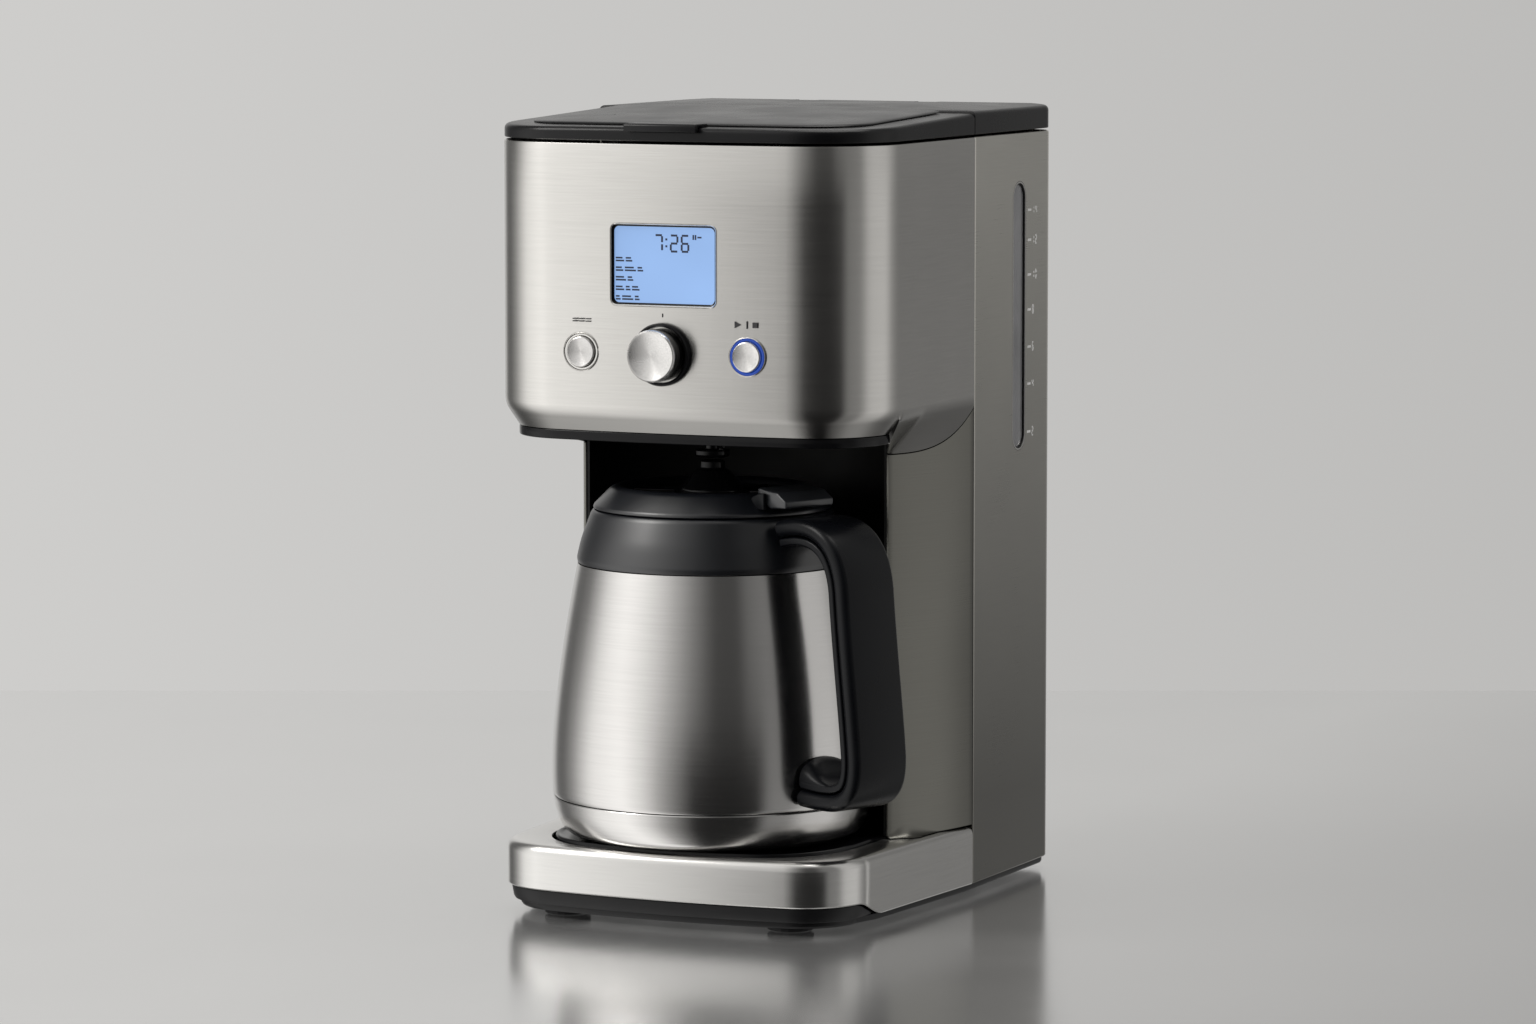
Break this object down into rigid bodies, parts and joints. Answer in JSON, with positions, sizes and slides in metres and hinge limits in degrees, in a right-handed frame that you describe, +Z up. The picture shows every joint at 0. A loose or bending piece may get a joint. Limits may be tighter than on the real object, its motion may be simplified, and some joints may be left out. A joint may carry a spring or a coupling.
{
  "type": "drip coffee maker",
  "caption": "Tall steel drip coffee maker with a hinged lid, front display and dial, rear water tank and a thermal carafe.",
  "frame": {"origin": "on the table, under the centre of the whole object's bounding box", "axes": "+Z up, front faces -Y, +X to the right seen from the front"},
  "size_m": [0.2222, 0.2798, 0.4005],
  "materials": {
    "steel": "fine horizontal brushing, satin",
    "polished": "turned and polished",
    "black": "fine satin texture",
    "inner_black": "matt moulded",
    "rubber": "matt",
    "window": "smoked, smooth",
    "screen": "blue backlit display",
    "light_ring": "blue translucent",
    "board": "printed circuit board",
    "gold": "fine gold mesh",
    "tank": "clear moulded",
    "silicone": "translucent silicone"
  },
  "bodies": {
    "machine": {"head_panel": "steel", "column_side_left": "steel", "column_side_right": "steel", "base_cover": "steel", "tank_wrap": "steel", "flow_heater": "steel", "select_ring": "polished", "brew_lid_pin": "polished", "tank_lid_pin": "polished", "drip_spring": "polished", "head_trim": "black", "front_plinth": "black", "cord_gland": "black", "lid_hinge_bracket": "black", "tank_hinge_bracket": "black", "dial_bezel": "black", "dial_encoder": "black", "brew_chamber": "black", "brew_basket": "black", "shower_head": "black", "water_pump": "black", "head_floor": "inner_black", "bay_liner": "inner_black", "bulkhead": "inner_black", "base_pan": "inner_black", "carafe_mat": "inner_black", "foot_front_left": "rubber", "foot_front_right": "rubber", "foot_rear_left": "rubber", "foot_rear_right": "rubber", "level_window": "window", "lcd_lens": "window", "lcd_module": "screen", "start_ring": "light_ring", "control_board": "board", "gold_filter": "gold", "water_tank": "tank", "shower_arm": "silicone", "riser_tube": "silicone"},
    "brew_lid": {"brew_lid": "black", "brew_lid_panel": "black", "brew_lid_tab": "black"},
    "tank_lid": {"tank_lid": "black"},
    "select_button": {"select_button": "polished"},
    "start_button": {"start_button": "polished"},
    "dial": {"dial_cap": "polished", "dial_shaft": "polished"},
    "drip_valve": {"drip_valve": "black"},
    "carafe": {"carafe_shell": "steel", "carafe_base": "steel", "carafe_flask": "polished", "carafe_collar": "black", "carafe_handle": "black", "carafe_grip": "black"},
    "carafe_lid": {"carafe_lid": "black", "lid_hub": "black", "lid_seal": "silicone", "lever_pin": "polished"},
    "pour_lever": {"pour_lever": "black"}
  },
  "joints": [
    {"name": "brew_lid_hinge", "type": "hinge", "parent": "machine", "child": "brew_lid", "pos_m": [-0.0061, 0.0177, 0.397], "axis": [-1, 0, 0], "range_deg": [0, 88]},
    {"name": "tank_lid_hinge", "type": "hinge", "parent": "machine", "child": "tank_lid", "pos_m": [-0.0061, 0.1274, 0.3955], "axis": [-1, 0, 0], "range_deg": [0, 100]},
    {"name": "select_press", "type": "slide", "parent": "machine", "child": "select_button", "axis": [0, 1, 0], "range_m": [0, 0.0015], "stiffness_N_per_m": 300, "springref_m": -0.002},
    {"name": "start_press", "type": "slide", "parent": "machine", "child": "start_button", "axis": [0, 1, 0], "range_m": [0, 0.0015], "stiffness_N_per_m": 300, "springref_m": -0.002},
    {"name": "dial_turn", "type": "hinge", "parent": "machine", "child": "dial", "pos_m": [-0.0061, -0.1234, 0.283], "axis": [0, -1, 0], "continuous": true},
    {"name": "drip_valve_lift", "type": "slide", "parent": "machine", "child": "drip_valve", "axis": [0, 0, 1], "range_m": [0, 0.004], "stiffness_N_per_m": 150, "springref_m": -0.006, "deforming": ["drip_spring"]},
    {"name": "carafe_slide", "type": "slide", "parent": "machine", "child": "carafe", "axis": [0, -1, 0], "range_m": [0, 0.25]},
    {"name": "carafe_lid_turn", "type": "hinge", "parent": "carafe", "child": "carafe_lid", "pos_m": [-0.0091, -0.0594, 0.2022], "axis": [0, 0, 1], "range_deg": [0, 40]},
    {"name": "pour_lever_press", "type": "hinge", "parent": "carafe_lid", "child": "pour_lever", "pos_m": [0.04245, -0.08128, 0.2128], "axis": [0.3907, 0.9205, 0], "range_deg": [0, 8], "stiffness_Nm_per_rad": 0.5, "springref_deg": -11.46}
  ]
}
